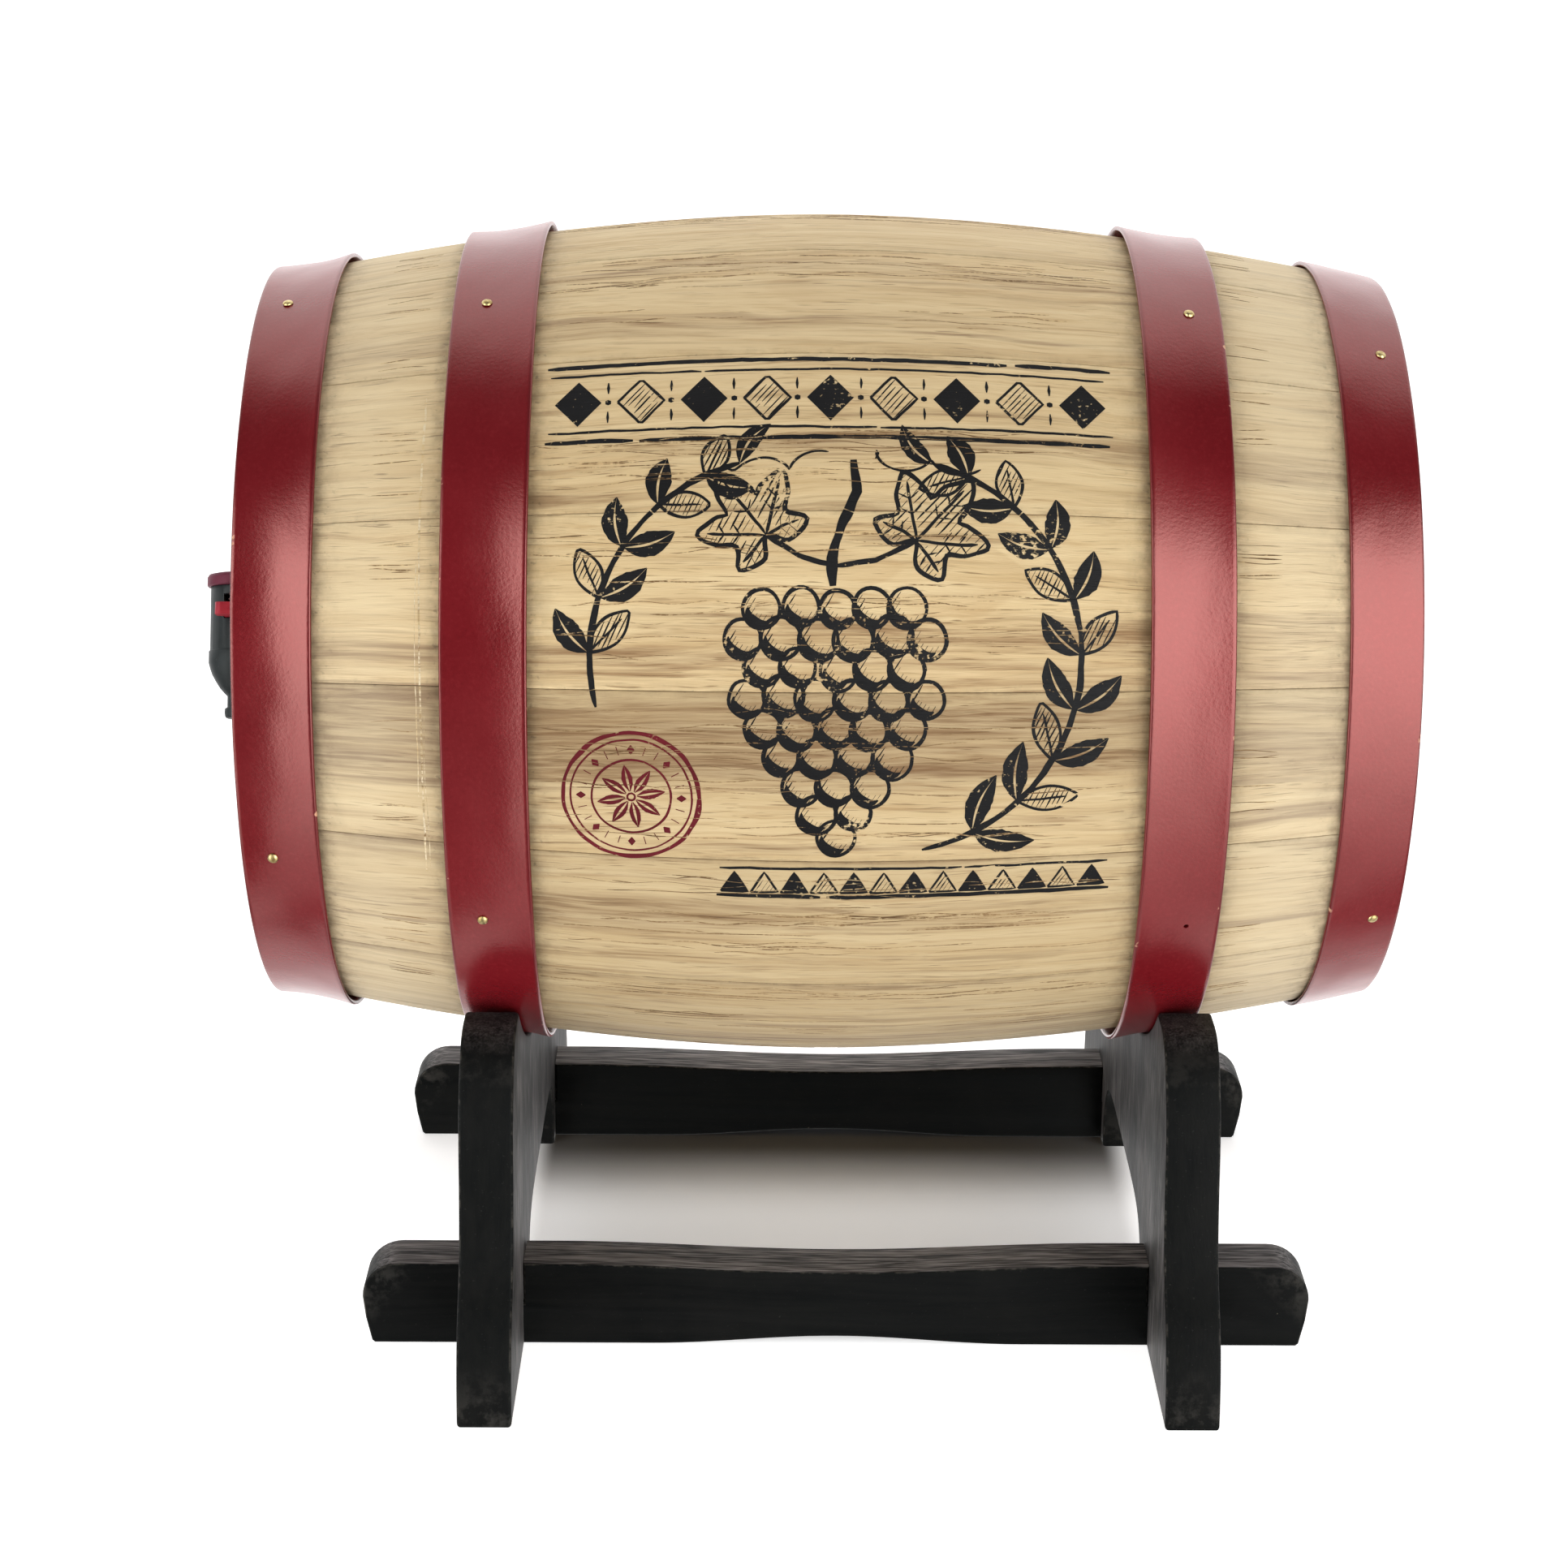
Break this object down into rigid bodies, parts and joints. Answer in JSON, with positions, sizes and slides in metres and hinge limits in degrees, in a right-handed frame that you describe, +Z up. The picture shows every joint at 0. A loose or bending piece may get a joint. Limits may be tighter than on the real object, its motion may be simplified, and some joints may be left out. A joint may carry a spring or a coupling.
{
  "type": "cask drink dispenser",
  "caption": "Small oak cask on a black cradle stand, with a press tap in the front head and a hinged rear door over an inner drink bag.",
  "frame": {"origin": "middle of the footprint, on the floor under the stand", "axes": "+X along the cask axis from the tap to the rear door, +Z up, +Y away from the side with the print; the tap is at -X"},
  "size_m": [0.381, 0.296, 0.3507],
  "materials": {
    "stave_oak": "sanded, unvarnished oak with lengthwise grain",
    "head_oak": "sanded oak, upright grain",
    "hoop_paint": "satin dark red paint on steel band",
    "nail_brass": "brassed nail heads",
    "hinge_brass": "satin brass",
    "steel": "zinc plated",
    "magnet": "nickel plated magnet",
    "tap_black": "moulded, slight sheen",
    "tap_maroon": "soft moulded dome",
    "tap_red": "moulded",
    "seal_rubber": "matte",
    "spout_plastic": "natural polyethylene",
    "bag_film": "metallised film, wrinkled",
    "stand_black": "black satin stain, worn at the edges"
  },
  "bodies": {
    "stand": {"cradle_board_front": "stand_black", "cradle_board_rear": "stand_black", "rail_near": "stand_black", "rail_far": "stand_black", "stand_screws": "steel"},
    "cask": {"stave_01": "stave_oak", "stave_02": "stave_oak", "stave_03": "stave_oak", "stave_04": "stave_oak", "stave_05": "stave_oak", "stave_06": "stave_oak", "stave_07": "stave_oak", "stave_08": "stave_oak", "stave_09": "stave_oak", "stave_10": "stave_oak", "stave_11": "stave_oak", "stave_12": "stave_oak", "stave_13": "stave_oak", "stave_14": "stave_oak", "stave_15": "stave_oak", "stave_16": "stave_oak", "hoop_front_end": "hoop_paint", "hoop_front_bilge": "hoop_paint", "hoop_rear_bilge": "hoop_paint", "hoop_rear_end": "hoop_paint", "hoop_nails": "nail_brass", "hoop_rivets": "hoop_paint", "front_head_left": "head_oak", "front_head_middle": "head_oak", "front_head_right": "head_oak", "front_head_dowels": "head_oak", "rear_head_segment": "head_oak", "door_stop_blocks": "head_oak", "hinge_upper_frame_leaf": "hinge_brass", "hinge_lower_frame_leaf": "hinge_brass", "hinge_pins": "hinge_brass", "hinge_frame_screws": "hinge_brass", "catch_magnet": "magnet", "tap_body": "tap_black", "tap_cap": "tap_maroon", "tap_spring": "steel", "tap_gasket": "seal_rubber", "bag_spout": "spout_plastic", "spout_clip": "spout_plastic", "wine_bag": "bag_film"},
    "door": {"door_board_hinge": "head_oak", "door_board_middle": "head_oak", "door_board_knob": "head_oak", "door_batten_upper": "head_oak", "door_batten_lower": "head_oak", "door_batten_screws": "steel", "hinge_upper_door_leaf": "hinge_brass", "hinge_lower_door_leaf": "hinge_brass", "hinge_door_screws": "hinge_brass", "catch_striker": "steel", "door_knob": "hinge_brass"},
    "tap_lever": {"tap_lever": "tap_red", "tap_stem": "tap_red", "tap_valve": "seal_rubber"}
  },
  "joints": [
    {"name": "cask_lift", "type": "slide", "parent": "stand", "child": "cask", "axis": [0, 0, 1], "range_m": [0, 0.12]},
    {"name": "door_hinge", "type": "hinge", "parent": "cask", "child": "door", "pos_m": [0.181, -0.062, 0.214], "axis": [0, 0, -1], "range_deg": [0, 105]},
    {"name": "tap_press", "type": "slide", "parent": "cask", "child": "tap_lever", "axis": [0, 0.3746, 0.9272], "range_m": [0, 0.0035], "stiffness_N_per_m": 1400, "springref_m": -0.002, "deforming": ["tap_spring"]}
  ]
}
